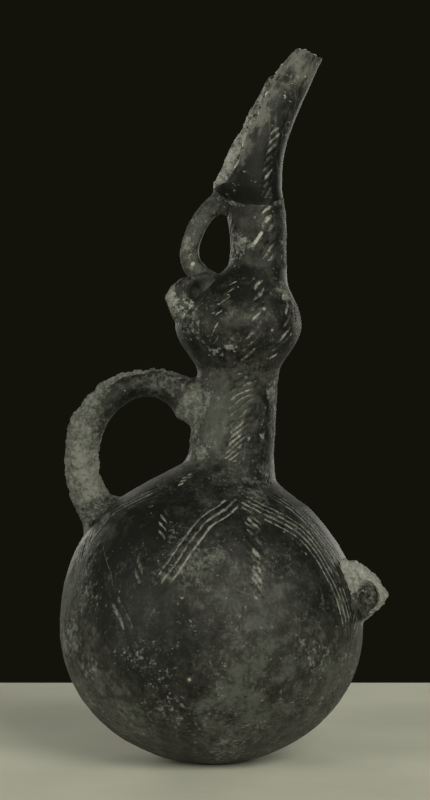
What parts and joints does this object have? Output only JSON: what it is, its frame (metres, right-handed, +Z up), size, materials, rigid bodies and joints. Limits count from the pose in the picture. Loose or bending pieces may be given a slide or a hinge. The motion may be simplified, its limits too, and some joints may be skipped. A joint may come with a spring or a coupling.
{
  "type": "beaked jug",
  "caption": "Hand-built dark burnished pottery jug with a round body, a bulb in the neck, a long cutaway beak, loop handles, ears and lime-filled incised lines.",
  "frame": {"origin": "centre of the flattened base on the standing surface", "axes": "+Z up the jug, +X towards the tip of the beak, large handle on the -X side"},
  "size_m": [0.1915, 0.1784, 0.4186],
  "materials": {
    "body_clay": "burnished dark clay",
    "neck_clay": "worn burnished dark clay",
    "bulb_clay": "burnished dark clay",
    "beak_clay": "worn burnished dark clay",
    "handle_clay": "dark clay under a pale lime crust",
    "ear_clay": "dark clay under a pale lime crust"
  },
  "bodies": {
    "root": {"base_bowl": "body_clay", "shoulder": "body_clay", "body_ear": "ear_clay", "lower_neck": "neck_clay", "bulb_cup": "bulb_clay", "bulb_dome": "bulb_clay", "upper_neck": "bulb_clay", "beak_spout": "beak_clay", "large_handle": "handle_clay", "small_handle": "handle_clay", "bulb_ear": "ear_clay"}
  },
  "joints": []
}
